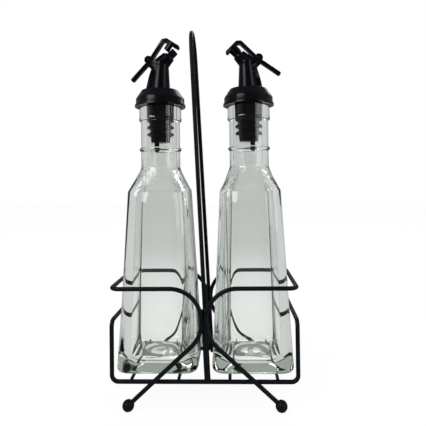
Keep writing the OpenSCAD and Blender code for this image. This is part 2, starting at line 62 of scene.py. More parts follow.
# Turns in degrees past which a surface keeps a crisp edge
WIRE_CREASE = 50
BALL_CREASE = 40
GLASS_CREASE = 60
MOULDING_CREASE = 30
ROUNDED_CREASE = 35


def node_low(node):
    """Lower corner of a solid's box."""
    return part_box(node)[0]


def node_top(node):
    """Upper corner of a solid's box."""
    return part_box(node)[1]


def node_middle(node):
    """Middle of a solid's box."""
    low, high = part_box(node)
    return (low + high) / 2


# Settings


def length(name, description, default):
    return FloatProperty(
        name=name, description=description, default=default, unit="LENGTH", precision=5
    )


def amount(name, description, default):
    return FloatProperty(name=name, description=description, default=default, min=0)


def colour(name, description, default):
    return FloatVectorProperty(
        name=name, description=description, default=default, subtype="COLOR", size=3, min=0, max=1
    )


class CruetRackSettings(bpy.types.PropertyGroup):
    """Sizes and finish of the wire rack."""

    wire: length("Wire", "Diameter of the rack's wire", 3 * MM)
    support: length("Support wire", "Diameter of the wires that a bottle stands on", 2.2 * MM)
    ball: length("Ball foot", "Diameter of a ball foot", 8 * MM)
    upper_bend: length("Upper bend", "Bend radius where a hoop drops into its waist", 21.5 * MM)
    lower_bend: length("Lower bend", "Bend radius where the waist spreads into a leg", 22 * MM)
    waist: length("Waist", "Length of the straight waist where the hoops meet", 1.2 * MM)
    hoop_corner: length("Hoop corner", "Bend radius at the corners of a hoop", 6 * MM)
    frame_corner: length("Frame corner", "Bend radius at the corners of the base frame", 4.5 * MM)
    handle_bend: length("Handle bend", "Bend radius of the handle's round top", 18.5 * MM)
    lean: FloatProperty(
        name="Lean",
        description="Sideways lean of the handle and posts",
        default=math.radians(2.5),
        subtype="ANGLE",
    )
    paint: colour("Paint", "Colour of the powder coat", (0.003, 0.0036, 0.0055))


class CruetBottleSettings(bpy.types.PropertyGroup):
    """Sizes and finish of the glass bottles."""

    foot: length("Foot", "Width of the square foot, flat to flat", 57.4 * MM)
    shoulder: length("Shoulder", "Width at the shoulder's edge, flat to flat", 43.8 * MM)
    body: length("Body", "Height of the tapered body", 127.5 * MM)
    corner: length("Cut corner", "Width that a cut corner takes off a side of the body", 6 * MM)
    foot_corner: length("Foot corner", "Width that a cut corner takes off at the foot", 3.5 * MM)
    corner_rise: length("Corner rise", "Height over which the cut corners widen", 50 * MM)
    rise: length("Shoulder rise", "Height of the sloping shoulder", 15.5 * MM)
    neck: length("Neck", "Diameter of the neck", 29.2 * MM)
    neck_length: length("Neck length", "Length of the neck up to the finish", 35 * MM)
    bead: length("Bead", "Diameter of the bead round the neck", 31.4 * MM)
    finish: length("Finish", "Diameter of the band that the collar fits over", 31.5 * MM)
    bore: length("Bore", "Diameter of the neck's bore", 20.6 * MM)
    wall: length("Wall", "Thickness of the glass in a panel", 3.2 * MM)
    base: length("Base", "Height of the inner floor's edge above the foot's underside", 5.5 * MM)
    floor_dome: length("Floor dome", "Width of the dome in the inner floor", 37 * MM)
    floor_rise: length("Floor rise", "Height of the dome in the inner floor", 3.0 * MM)
    hollow: length("Hollow", "Width of the hollow under the foot", 42 * MM)
    hollow_depth: length("Hollow depth", "Depth of the hollow under the foot", 2.5 * MM)
    ring_points: IntProperty(
        name="Ring points", description="Points in one ring of the glass", default=192
    )
    clear: colour("Clear", "Colour of the glass seen straight on", (0.965, 0.977, 0.966))
    # Painted shade: a darker glass colour for where the surface turns from view, standing in for the
    # dark room seen in the edges
    outline: colour("Painted edge shade", "Colour of the glass along its outlines", (0.42, 0.5, 0.45))
    tint: colour("Tint", "Colour that thick glass takes", (0.42, 0.51, 0.43))
    density: amount("Density", "How fast the tint deepens, per metre of glass", 24)


class CruetPourerSettings(bpy.types.PropertyGroup):
    """Sizes of the collar's bevel and finish of the pourers."""

    collar: length("Collar", "Diameter of the collar over its skirt", 36.4 * MM)
    collar_rise: length("Collar rise", "Height of the collar's top above the mouth", 3.8 * MM)
    bevel_width: length("Bevel width", "Width of the collar's bevel", 4.2 * MM)
    bevel_height: length("Bevel height", "Height of the collar's bevel", 6.4 * MM)
    plastic: colour("Plastic", "Colour of the moulded plastic", (0.0012, 0.0016, 0.003))
    rubber: colour("Rubber", "Colour of the soft stoppers", (0.0012, 0.0016, 0.0026))


class CruetStageSettings(bpy.types.PropertyGroup):
    """Floor and light, and how bright the room looks in gloss and glass."""

    floor: colour("Floor", "Colour of the floor", (0.95, 0.95, 0.95))
    light: amount("Light", "Strength of the surrounding light", 0.8)
    gloss: amount("Gloss", "Brightness of the room's front in glossy surfaces", 0.04)
    inner: amount("Inner", "Brightness of the room's front inside the glass", 0.1)
    sheen: amount("Sheen", "Brightness of the room's back in glossy surfaces", 0.25)
    rim: amount("Rim", "Brightness of the room's back inside the glass", 0.75)
    through: amount("Through", "Brightness of the backdrop through glass", 0.67)


# Small helpers


def keep(obj, body, slot, *nodes):
    """Puts a finished piece on its body, in place of the plain solids that it stands for."""
    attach(obj, body)
    if nodes:
        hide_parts(*nodes)
    return obj


def add_object(name, mesh):
    obj = bpy.data.objects.new(name, mesh)
    bpy.context.scene.collection.objects.link(obj)
    return obj


def smooth(mesh, angle):
    """Smooth shading with crisp edges where the surface turns by more than an angle in degrees."""
    for face in mesh.polygons:
        face.use_smooth = True
    mesh.set_sharp_from_angle(angle=math.radians(angle))


def grow(obj, tree, **inputs):
    """Shapes an object with a node tree and leaves the result as a plain mesh."""
    modifier = obj.modifiers.new("Shape", "NODES")
    modifier.node_group = tree
    for item in tree.interface.items_tree:
        if item.in_out == "INPUT" and item.name in inputs:
            modifier[item.identifier] = inputs[item.name]
    shaped = obj.evaluated_get(bpy.context.evaluated_depsgraph_get())
    mesh = bpy.data.meshes.new_from_object(shaped)
    if not mesh.polygons:
        raise RuntimeError(f"{obj.name} came out without faces")
    obj.modifiers.remove(modifier)
    obj.data = mesh
    return obj


# Node trees


class Tree:
    """A short way to write node trees: each call adds one node and fills its inputs."""

    def __init__(self, tree):
        self.tree = tree

    def put(self, value, socket):
        """Fills a socket, by a link from another one or with a plain value."""
        if isinstance(value, bpy.types.NodeSocket):
            self.tree.links.new(value, socket)
        else:
            socket.default_value = value

    def add(self, kind, options=None, **inputs):
        node = self.tree.nodes.new(kind)
        for key, value in (options or {}).items():
            setattr(node, key, value)
        for key, value in inputs.items():
            self.put(value, node.inputs[key.replace("_", " ")])
        return node


def new_tree(name, kind, inputs, outputs):
    """A node group with named sockets; returns its helper, its inputs and its output node."""
    tree = bpy.data.node_groups.new(name, kind)
    for socket, (socket_type, default) in inputs.items():
        made = tree.interface.new_socket(socket, in_out="INPUT", socket_type=socket_type)
        if default is not None:
            made.default_value = default
    for socket, socket_type in outputs.items():
        tree.interface.new_socket(socket, in_out="OUTPUT", socket_type=socket_type)
    start = tree.nodes.new("NodeGroupInput")
    end = tree.nodes.new("NodeGroupOutput")
    return Tree(tree), start.outputs, end


def worked_out(made, operation, first, second):
    """The result of one sum on two values."""
    node = made.add("ShaderNodeMath", {"operation": operation})
    made.put(first, node.inputs[0])
    made.put(second, node.inputs[1])
    return node.outputs[0]


# Places of a mix node's factor, first, second and result among its sockets
MIX_SOCKETS = {"FLOAT": (0, 2, 3, 0), "RGBA": (0, 6, 7, 2)}


def mixed(made, factor, first, second, kind="FLOAT"):
    """A value or colour that goes from first to second as the factor goes from 0 to 1."""
    mix = made.add("ShaderNodeMix", {"data_type": kind})
    *places, result = MIX_SOCKETS[kind]
    for place, value in zip(places, (factor, first, second)):
        made.put(value, mix.inputs[place])
    return mix.outputs[result]


def noise(made, at, scale, detail):
    return made.add("ShaderNodeTexNoise", Vector=at, Scale=scale, Detail=detail).outputs["Fac"]


def wire_tree():
    """A round wire along a chain of points; each point's bend attribute is its bend radius."""
    made, given, end = new_tree(
        "Bent wire",
        "GeometryNodeTree",
        {
            "Path": ("NodeSocketGeometry", None),
            "Diameter": ("NodeSocketFloat", 3 * MM),
            "Sides": ("NodeSocketInt", 24),
            "Bend steps": ("NodeSocketInt", 16),
            "Finish": ("NodeSocketMaterial", None),
        },
        {"Wire": "NodeSocketGeometry"},
    )
    chain = made.add("GeometryNodeMeshToCurve", Mesh=given["Path"])
    bend = made.add("GeometryNodeInputNamedAttribute", {"data_type": "FLOAT"}, Name="bend")
    bent = made.add(
        "GeometryNodeFilletCurve",
        {"mode": "POLY"},
        Curve=chain.outputs["Curve"],
        Count=given["Bend steps"],
        Radius=bend.outputs["Attribute"],
    )
    section = made.add(
        "GeometryNodeCurvePrimitiveCircle",
        Resolution=given["Sides"],
        Radius=worked_out(made, "MULTIPLY", given["Diameter"], 0.5),
    )
    wire = made.add(
        "GeometryNodeCurveToMesh",
        Curve=bent.outputs["Curve"],
        Profile_Curve=section.outputs["Curve"],
        Fill_Caps=True,
    )
    whole = made.add("GeometryNodeRealizeInstances", Geometry=wire.outputs["Mesh"])
    painted = made.add(
        "GeometryNodeSetMaterial", Geometry=whole.outputs["Geometry"], Material=given["Finish"]
    )
    made.put(painted.outputs["Geometry"], end.inputs["Wire"])
    return made.tree


def feet_tree():
    """A ball on every point, flattened where it stands on the table."""
    made, given, end = new_tree(
        "Ball feet",
        "GeometryNodeTree",
        {
            "Places": ("NodeSocketGeometry", None),
            "Diameter": ("NodeSocketFloat", 8 * MM),
            "Segments": ("NodeSocketInt", 40),
            "Rings": ("NodeSocketInt", 28),
            "Finish": ("NodeSocketMaterial", None),
        },
        {"Feet": "NodeSocketGeometry"},
    )
    ball = made.add(
        "GeometryNodeMeshUVSphere",
        Segments=given["Segments"],
        Rings=given["Rings"],
        Radius=worked_out(made, "MULTIPLY", given["Diameter"], 0.5),
    )
    balls = made.add(
        "GeometryNodeInstanceOnPoints", Points=given["Places"], Instance=ball.outputs["Mesh"]
    )
    whole = made.add("GeometryNodeRealizeInstances", Geometry=balls.outputs["Instances"])
    place = made.add("GeometryNodeInputPosition")
    split = made.add("ShaderNodeSeparateXYZ", Vector=place.outputs["Position"])
    raised = made.add(
        "ShaderNodeCombineXYZ",
        X=split.outputs["X"],
        Y=split.outputs["Y"],
        Z=worked_out(made, "MAXIMUM", split.outputs["Z"], 0),
    )
    flat = made.add(
        "GeometryNodeSetPosition",
        Geometry=whole.outputs["Geometry"],
        Position=raised.outputs["Vector"],
    )
    painted = made.add(
        "GeometryNodeSetMaterial", Geometry=flat.outputs["Geometry"], Material=given["Finish"]
    )
    made.put(painted.outputs["Geometry"], end.inputs["Feet"])
    return made.tree


# Finishes

# Darkest and lightest cloud of a grained finish, as shares of its colour
CLOUD_DARK, CLOUD_LIGHT = 0.8, 1.25
# Where the streaks at the bottles' shoulders come in, are full, and go again, as shares of a height
STREAK_TOP = 0.2
STREAK_BAND = (0.73, 0.77, 0.83, 0.87)
BLACK, WHITE = (0, 0, 0, 1), (1, 1, 1, 1)
GLASS_IOR = 1.51


def grain_group():
    """Fine grain that varies colour, roughness and height over a surface, with softened edges."""
    made, given, end = new_tree(
        "Fine grain",
        "ShaderNodeTree",
        {
            "Dark": ("NodeSocketColor", (0.01, 0.01, 0.01, 1)),
            "Light": ("NodeSocketColor", (0.02, 0.02, 0.02, 1)),
            "Smooth": ("NodeSocketFloat", 0.3),
            "Rough": ("NodeSocketFloat", 0.5),
            "Cloud scale": ("NodeSocketFloat", 90),
            "Grain scale": ("NodeSocketFloat", 1500),
            "Grain height": ("NodeSocketFloat", 0.1),
            "Edge": ("NodeSocketFloat", 0.3 * MM),
        },
        {"Color": "NodeSocketColor", "Roughness": "NodeSocketFloat", "Normal": "NodeSocketVector"},
    )
    at = made.add("ShaderNodeTexCoord").outputs["Object"]
    cloud = noise(made, at, given["Cloud scale"], 4)
    shade = mixed(made, cloud, given["Dark"], given["Light"], "RGBA")
    rough = made.add(
        "ShaderNodeMapRange", Value=cloud, To_Min=given["Smooth"], To_Max=given["Rough"]
    )
    edge = made.add("ShaderNodeBevel", {"samples": 6}, Radius=given["Edge"])
    bump = made.add(
        "ShaderNodeBump",
        Strength=given["Grain height"],
        Distance=0.1 * MM,
        Height=noise(made, at, given["Grain scale"], 2),
        Normal=edge.outputs["Normal"],
    )
    made.put(shade, end.inputs["Color"])
    made.put(rough.outputs["Result"], end.inputs["Roughness"])
    made.put(bump.outputs["Normal"], end.inputs["Normal"])
    return made.tree


def new_material(name):
    material = bpy.data.materials.new(name)
    material.use_nodes = True
    material.node_tree.nodes.clear()
    made = Tree(material.node_tree)
    return material, made, made.add("ShaderNodeOutputMaterial")


def grained_material(name, base, specular, **grain_inputs):
    """An opaque finish with fine grain, a little lighter and darker in soft clouds."""
    found = bpy.data.materials.get(name)
    if found:
        return found
    group = bpy.data.node_groups.get("Fine grain") or grain_group()
    material, made, out = new_material(name)
    grain = made.add(
        "ShaderNodeGroup",
        {"node_tree": group},
        Dark=[CLOUD_DARK * c for c in base] + [1],
        Light=[CLOUD_LIGHT * c for c in base] + [1],
        **grain_inputs,
    )
    shader = made.add(
        "ShaderNodeBsdfPrincipled",
        Base_Color=grain.outputs["Color"],
        Roughness=grain.outputs["Roughness"],
        Normal=grain.outputs["Normal"],
        Specular_IOR_Level=specular,
    )
    made.put(shader.outputs["BSDF"], out.inputs["Surface"])
    return material


def wire_paint(settings):
    return grained_material(
        "satin_black_paint",
        settings.paint,
        specular=0.12,
        Smooth=0.38,
        Rough=0.5,
        Grain_scale=1400,
        Grain_height=0.12,
    )


def pourer_plastic(settings):
    return grained_material(
        "moulded_black_plastic",
        settings.plastic,
        specular=0.16,
        Smooth=0.16,
        Rough=0.26,
        Grain_scale=2200,
        Grain_height=0.05,
    )


def stopper_rubber(settings):
    return grained_material(
        "soft_black_rubber",
        settings.rubber,
        specular=0.04,
        Smooth=0.5,
        Rough=0.65,
        Grain_scale=2600,
        Grain_height=0.12,
    )


def shoulder_band(made, at):
    """A mask that is white round the bottles' shoulders and black above and below them."""
    height = made.add("ShaderNodeSeparateXYZ", Vector=at).outputs["Z"]
    share = made.add("ShaderNodeMapRange", Value=height, From_Min=0, From_Max=STREAK_TOP)
    band = made.add("ShaderNodeValToRGB", Fac=share.outputs["Result"])
    stops = band.color_ramp.elements
    comes, full, still, gone = STREAK_BAND
    stops[0].position, stops[1].position = comes, full
    stops[0].color, stops[1].color = BLACK, WHITE
    stops.new(still).color = WHITE
    stops.new(gone).color = BLACK
    return band.outputs["Color"]


def bottle_glass(settings):
    """Pressed glass: faintly wavy, streaked at the shoulder, green-grey where thick, with painted
    shade along its edges.
    """
    name = "pressed_glass"
    found = bpy.data.materials.get(name)
    if found:
        return found
    wave_scale, wave_strength, wave_height = 45, 0.08, 0.4 * MM
    streak_scale, streak_stretch, streak_height = 520, (1, 1, 0.12), 0.25 * MM
    film_scale, most_haze = 120, 0.02
    # Facing range over which the painted edge shade comes in, and its strongest share
    turned_from, turned_to, most_painted_edge_shade = 0.5, 0.95, 0.7
    material, made, out = new_material(name)
    at = made.add("ShaderNodeTexCoord").outputs["Object"]
    waves = made.add(
        "ShaderNodeBump",
        Strength=wave_strength,
        Distance=wave_height,
        Height=noise(made, at, wave_scale, 1),
    )
    upright = made.add("ShaderNodeMapping", Vector=at, Scale=streak_stretch).outputs["Vector"]
    streaks = made.add(
        "ShaderNodeBump",
        Strength=shoulder_band(made, at),
        Distance=streak_height,
        Height=noise(made, upright, streak_scale, 2),
        Normal=waves.outputs["Normal"],
    )
    haze = made.add("ShaderNodeMapRange", Value=noise(made, at, film_scale, 5), To_Max=most_haze)
    # Painted shade: the colour darkens towards the darker edge colour where the glass turns from
    # view, standing in for dark reflections in its edges
    turned = made.add("ShaderNodeLayerWeight", Blend=0.5)
    outline = made.add(
        "ShaderNodeMapRange",
        Value=turned.outputs["Facing"],
        From_Min=turned_from,
        From_Max=turned_to,
        To_Max=most_painted_edge_shade,
    )
    shader = made.add(
        "ShaderNodeBsdfPrincipled",
        Base_Color=mixed(
            made, outline.outputs["Result"], [*settings.clear, 1], [*settings.outline, 1], "RGBA"
        ),
        Roughness=haze.outputs["Result"],
        IOR=GLASS_IOR,
        Transmission_Weight=1.0,
        Normal=streaks.outputs["Normal"],
    )
    body = made.add(
        "ShaderNodeVolumeAbsorption", Color=[*settings.tint, 1], Density=settings.density
    )
    made.put(shader.outputs["BSDF"], out.inputs["Surface"])
    made.put(body.outputs["Volume"], out.inputs["Volume"])
    return material


# Rack


def path_object(name, points, closed=False):
    """A chain of points with a bend radius at each, ready for the wire tree."""
    mesh = bpy.data.meshes.new(name)
    count = len(points)
    edges = [(i, (i + 1) % count) for i in range(count if closed else count - 1)]
    mesh.from_pydata([place for place, _ in points], edges, [])
    bends = mesh.attributes.new("bend", "FLOAT", "POINT")
    bends.data.foreach_set("value", [radius for _, radius in points])
    return add_object(name, mesh)


def make_wire(node, points, diameter, settings, closed=False):
    """Bends a wire through its points and puts it in place of its solid."""
    tree = bpy.data.node_groups.get("Bent wire") or wire_tree()
    path = path_object(f"{node}_wire", points, closed)
    wire = grow(path, tree, Diameter=diameter, Finish=wire_paint(settings))
    smooth(wire.data, WIRE_CREASE)
    return keep(wire, "rack", "wire_paint", node)


def front_to_rear(points):
    """A chain of points carried on from the front of the rack to its rear."""
    return points + [((x, -y, z), bend) for (x, y, z), bend in reversed(points)]


def leg_angle(waist_x, waist_low, foot_x, foot_z, bend):
    """Angle of a leg above the table, so that it leaves its bend straight and ends in its foot."""
    run = foot_x + waist_x - bend
    drop = waist_low - foot_z
    return math.atan2(drop, run) - math.asin(bend / math.hypot(run, drop))


def hoop_points(settings, side):
    """Corners of a hoop's wire from one foot to the other, worked out on the left hoop."""
    radius = settings.wire / 2
    low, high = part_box("left_hoop")
    out, deep = -low.x - radius, -low.y - radius
    top, waist_x = high.z - radius, high.x - radius
    foot_x = -node_middle("left_front_foot").x
    foot_z = node_top("left_front_foot").z - settings.ball / 2
    waist_low = top - settings.upper_bend - settings.waist
    leg = leg_angle(waist_x, waist_low, foot_x, foot_z, settings.lower_bend)
    spread = math.pi / 2 - leg
    knee_z = waist_low - settings.lower_bend * math.tan(spread / 2)
    front = [
        ((-foot_x, -deep, foot_z), 0),
        ((waist_x, -deep, knee_z), settings.lower_bend),
        ((waist_x, -deep, top), settings.upper_bend),
        ((-out, -deep, top), settings.hoop_corner),
    ]
    return [((-side * x, -side * y, z), bend) for (x, y, z), bend in front_to_rear(front)]


def frame_points(settings):
    """Corners of the base frame's closed wire."""
    radius = settings.wire / 2
    low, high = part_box("base_frame")
    out, deep = high.x - radius, high.y - radius
    floor, rail = low.z + radius, high.z - radius
    corners = [
        (out, -deep, floor), (out, -deep, rail), (out, deep, rail), (out, deep, floor),
        (-out, deep, floor), (-out, deep, rail), (-out, -deep, rail), (-out, -deep, floor),
    ]
    return [(corner, settings.frame_corner) for corner in corners]


def floor_wire_z(settings):
    """Height of the middle of the bottom wires."""
    return node_low("base_frame").z + settings.wire / 2


def leaned(settings, points):
    """Leans points that stand on the bottom wires a little to the left."""
    foot = Vector((0, 0, floor_wire_z(settings)))
    turn = Matrix.Rotation(-settings.lean, 3, "Y")
    return [(turn @ (Vector(place) - foot) + foot, bend) for place, bend in points]


def handle_points(settings):
    """Corners of the handle's wire, over the top from its front foot to its rear one."""
    radius, top_bend = settings.wire / 2, settings.handle_bend
    floor = floor_wire_z(settings)
    high = node_top("handle_loop")
    foot_x, foot_y, foot_z = high.x - radius, high.y - radius, floor - radius
    top = high.z - radius - floor - foot_x * math.sin(settings.lean)
    rise = top / math.cos(settings.lean) + radius
    straight = rise - top_bend
    tilt = math.atan2(foot_y, straight) - math.asin(top_bend / math.hypot(foot_y, straight))
    half_top = top_bend * math.tan((math.pi / 2 - tilt) / 2)
    front = [((foot_x, -foot_y, foot_z), 0), ((foot_x, -half_top, foot_z + rise), top_bend)]
    return leaned(settings, front_to_rear(front))


def post_points(settings, node):
    """Ends of a post's wire."""
    radius = settings.wire / 2
    low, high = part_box(node)
    foot_x = high.x - radius - radius * math.tan(settings.lean)
    middle_y = (low.y + high.y) / 2
    ends = [((foot_x, middle_y, z), 0) for z in (floor_wire_z(settings), high.z)]
    return leaned(settings, ends)


class CRUET_OT_hoops(bpy.types.Operator):
    """Bends the two hoops with their waists and splayed legs"""

    bl_idname = "cruet.hoops"
    bl_label = "Hoops"

    def execute(self, context):
        settings = context.scene.cruet_rack
        for name, side in SIDES.items():
            make_wire(f"{name}_hoop", hoop_points(settings, side), settings.wire, settings)
        return {"FINISHED"}


class CRUET_OT_base(bpy.types.Operator):
    """Bends the base frame and lays the cross wires that the bottles stand on"""

    bl_idname = "cruet.base"
    bl_label = "Base frame and supports"

    def execute(self, context):
        settings = context.scene.cruet_rack
        make_wire("base_frame", frame_points(settings), settings.wire, settings, closed=True)
        for place in ("left_outer", "left_inner", "right_inner", "right_outer"):
            node = f"{place}_support"
            low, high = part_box(node)
            middle = (low + high) / 2
            ends = [((middle.x, y, middle.z), 0) for y in (low.y, high.y)]
            make_wire(node, ends, settings.support, settings)
        return {"FINISHED"}


class CRUET_OT_handle(bpy.types.Operator):
    """Bends the tall loop handle and stands the two short posts"""

    bl_idname = "cruet.handle"
    bl_label = "Handle and posts"

    def execute(self, context):
        settings = context.scene.cruet_rack
        make_wire("handle_loop", handle_points(settings), settings.wire, settings)
        for node in ("front_post", "rear_post"):
            make_wire(node, post_points(settings, node), settings.wire, settings)
        return {"FINISHED"}


class CRUET_OT_feet(bpy.types.Operator):
    """Puts a ball on the end of each leg"""

    bl_idname = "cruet.feet"
    bl_label = "Ball feet"

    def execute(self, context):
        settings = context.scene.cruet_rack
        nodes = [f"{side}_{end}_foot" for side in SIDES for end in ("front", "rear")]
        places = []
        for node in nodes:
            place = node_middle(node)
            place.z = node_top(node).z - settings.ball / 2
            places.append(place)
        mesh = bpy.data.meshes.new("ball_feet")
        mesh.from_pydata(places, [], [])
        tree = bpy.data.node_groups.get("Ball feet") or feet_tree()
        paint = wire_paint(settings)
        feet = grow(add_object("ball_feet", mesh), tree, Diameter=settings.ball, Finish=paint)
        smooth(feet.data, BALL_CREASE)
        keep(feet, "rack", "wire_paint", *nodes)
        return {"FINISHED"}


# Bottles


def soft_octagon(angle, corner, power):
    """Distance to the wall of a soft-edged octagon whose flats are one unit away."""
    turned = angle - math.pi / 4
    total = abs(math.cos(angle)) ** power + abs(math.sin(angle)) ** power
    total += (abs(math.cos(turned)) / corner) ** power + (abs(math.sin(turned)) / corner) ** power
    return total ** (-1 / power)


def quarter_turns(steps):
    """Angles from nothing to a quarter turn."""
    return [math.pi / 2 * k / steps for k in range(steps + 1)]


class Glass:
    """The bottle's shape as rings, from the middle of the underside round to the inner floor's."""

    # How crisp the outer edges and the cavity's are, and how far out the cavity's corners reach
    edge_power = 24
    cavity_power = 10
    cavity_corner = 1.21
    # Roundings and steps of the outline
    heel = 4 * MM
    floor_round = 7 * MM
    shoulder_soft = 2 * MM
    shoulder_bow = 0.9
    neck_root = (1 * MM, 3 * MM)
    bead_rise = 13.5 * MM
    bead_round = 1.3 * MM
    lip_gap = 0.3 * MM
    lip_stand = 0.25 * MM
    mouth_round = 1.2 * MM
    # Rings in each stretch
    heel_rings = 10
    wall_rings = 6
    cavity_rings = 8
    shoulder_rings = 18
    mouth_rings = 6
    band_rings = 12
    dome_rings = 12

    def __init__(self, settings, height):
        self.set = settings
        self.height = height
        self.neck_z = settings.body + settings.rise
        self.lip_z = self.neck_z + settings.neck_length

    def flat(self, z):
        """Distance of the flats from the axis at a height."""
        settings = self.set
        return (settings.foot - (settings.foot - settings.shoulder) * z / settings.body) / 2

    def cut_corner(self, z, flat):
        """Distance of the cut corners from the axis at a height, as a share of the half width."""
        settings = self.set
        widened = min(1, z / settings.corner_rise)
        cut = settings.foot_corner + (settings.corner - settings.foot_corner) * widened
        return (2 - cut / flat) / math.sqrt(2)

    def ring(self, z, flat, corner, power, circle=0.0, share=0.0):
        """One ring of points, which turns from an octagon into a circle as the share grows to 1."""
        count = self.set.ring_points
        points = []
        for i in range(count):
            angle = 2 * math.pi * i / count
            edge = soft_octagon(angle, corner, power)
            edge += (1 - edge) * share ** 2
            r = ((1 - share) * flat + share * circle) * edge
            points.append((r * math.cos(angle), r * math.sin(angle), z))
        return points

    def outer(self, z, flat, circle=0.0, share=0.0):
        return self.ring(z, flat, self.cut_corner(z, flat), self.edge_power, circle, share)

    def inner(self, z, flat, circle=0.0, share=0.0):
        return self.ring(z, flat, self.cavity_corner, self.cavity_power, circle, share)

    def circle(self, r, z):
        return self.ring(z, 0, 1, 2, r, 1)

    def rounded_body(self, shape, lift, edge, thickness):
        """Rings of a rounded floor edge, from the flat floor up the wall."""
        rings = []
        for turn in quarter_turns(self.heel_rings):
            z = lift + edge * (1 - math.cos(turn))
            rings.append(shape(z, self.flat(z) - thickness - edge * (1 - math.sin(turn))))
        return rings

    def shoulder(self, shape, start, wide, circle):
        """Rings from the body's last width in to the neck."""
        rings = []
        for k in range(self.shoulder_rings + 1):
            share = k / self.shoulder_rings
            z = start + self.set.rise * share
            rings.append(shape(z, wide, circle, share ** self.shoulder_bow))
        return rings

    def dome(self, width, rise, z):
        """Rings of a shallow dome, from near its middle out to its rim."""
        shares = [k / self.dome_rings for k in range(1, self.dome_rings + 1)]
        return [self.circle(width / 2 * share, z + rise * (1 - share ** 2)) for share in shares]

    def outside(self):
        """Rings from the underside up the outer wall and over the shoulder to the neck."""
        settings = self.set
        rings = self.rounded_body(self.outer, 0, self.heel, 0)
        top = settings.body - self.shoulder_soft
        for low, high in ((self.heel, settings.corner_rise), (settings.corner_rise, top)):
            for k in range(1, self.wall_rings + 1):
                z = low + (high - low) * k / self.wall_rings
                rings.append(self.outer(z, self.flat(z)))
        wide = self.flat(settings.body) - self.shoulder_soft / 2
        return rings + self.shoulder(self.outer, settings.body, wide, settings.neck / 2)

    def neck(self):
        """Rings of the neck with its bead and lip, over the mouth and down the bore."""
        settings = self.set
        neck, finish, bore = settings.neck / 2, settings.finish / 2, settings.bore / 2
        rings = [self.circle(neck, self.neck_z + step) for step in self.neck_root]
        bead_r = settings.bead / 2 - self.bead_round
        rings += self.round_band(bead_r, self.neck_z + self.bead_rise, neck)
        rings.append(self.circle(neck, self.lip_z - self.lip_gap))
        lip_r = finish - self.bead_round + self.lip_stand
        rings += self.round_band(lip_r, self.lip_z + self.bead_round, finish)
        mouth = self.mouth_round
        for turn in quarter_turns(self.mouth_rings):
            r = finish - mouth * (1 - math.cos(turn))
            rings.append(self.circle(r, self.height - mouth * (1 - math.sin(turn))))
        for turn in quarter_turns(self.mouth_rings):
            r = bore + mouth * (1 - math.sin(turn))
            rings.append(self.circle(r, self.height - mouth * (1 - math.cos(turn))))
        rings.append(self.circle(bore, self.neck_z))
        return rings

    def round_band(self, centre, z, wall):
        """Rings over a round bead that stands out of a wall."""
        rings = []
        for k in range(self.band_rings + 1):
            turn = math.pi * (k / self.band_rings - 0.5)
            r = centre + self.bead_round * math.cos(turn)
            rings.append(self.circle(max(r, wall), z + self.bead_round * math.sin(turn)))
        return rings

    def inside(self):
        """Rings from the bore out under the shoulder and down the cavity to its floor."""
        settings = self.set
        rings = self.rounded_body(self.inner, settings.base, self.floor_round, settings.wall)
        start = settings.body - settings.wall
        low = settings.base + self.floor_round
        for k in range(1, self.cavity_rings):
            z = low + (start - low) * k / self.cavity_rings
            rings.append(self.inner(z, self.flat(z) - settings.wall))
        wide = self.flat(settings.body) - settings.wall
        rings += self.shoulder(self.inner, start, wide, settings.bore / 2)
        return rings[::-1]

    def mesh(self, name, place):
        """The whole bottle as one closed mesh."""
        settings = self.set
        bm = bmesh.new()
        hollow = self.dome(settings.hollow, settings.hollow_depth, 0)
        floor = self.dome(settings.floor_dome, settings.floor_rise, settings.base)
        rings = [
            [bm.verts.new(Vector(point) + place) for point in ring]
            for ring in hollow + self.outside() + self.neck() + self.inside() + floor[::-1]
        ]
        for low, high in zip(rings, rings[1:]):
            for i, here in enumerate(low):
                j = (i + 1) % len(low)
                bm.faces.new((here, low[j], high[j], high[i]))
        ends = (
            (rings[0], settings.hollow_depth, True),
            (rings[-1], settings.base + settings.floor_rise, False),
        )
        for ring, z, turned in ends:
            middle = bm.verts.new(place + Vector((0, 0, z)))
            for i, here in enumerate(ring):
                there = ring[(i + 1) % len(ring)]
                bm.faces.new((middle, there, here) if turned else (middle, here, there))
        bmesh.ops.recalc_face_normals(bm, faces=bm.faces)
        mesh = bpy.data.meshes.new(name)
        bm.to_mesh(mesh)
        bm.free()
        return mesh


class CRUET_OT_bottles(bpy.types.Operator):
    """Draws the pressed glass bottles"""

    bl_idname = "cruet.bottles"
    bl_label = "Bottles"

    def execute(self, context):
        settings = context.scene.cruet_bottle
        for name in SIDES:
            node = f"{name}_bottle"
            low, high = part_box(node)
            place = Vector(((low.x + high.x) / 2, 0, low.z))
            mesh = Glass(settings, high.z - low.z).mesh(f"{name}_glass_bottle", place)
            mesh.materials.append(bottle_glass(settings))
            smooth(mesh, GLASS_CREASE)
            keep(add_object(mesh.name, mesh), f"{name}_glass", "bottle_glass", node)
        return {"FINISHED"}


# Pourers

# Distance within which two corners of a solid's triangles are one
WELD = 0.002 * MM
# Share of the straight bevel, below which a point belongs to the collar's inside
BEVEL_SKIN = 0.98


def moulded_copy(node, name, material, crease):
    """A welded, smooth-shaded copy of a solid."""
    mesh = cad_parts[node].data.copy()
    mesh.name = name
    bm = bmesh.new()
    bm.from_mesh(mesh)
    bmesh.ops.remove_doubles(bm, verts=bm.verts, dist=WELD)
    bm.to_mesh(mesh)
    bm.free()
    mesh.materials.clear()
    mesh.materials.append(material)
    smooth(mesh, crease)
    return add_object(name, mesh)


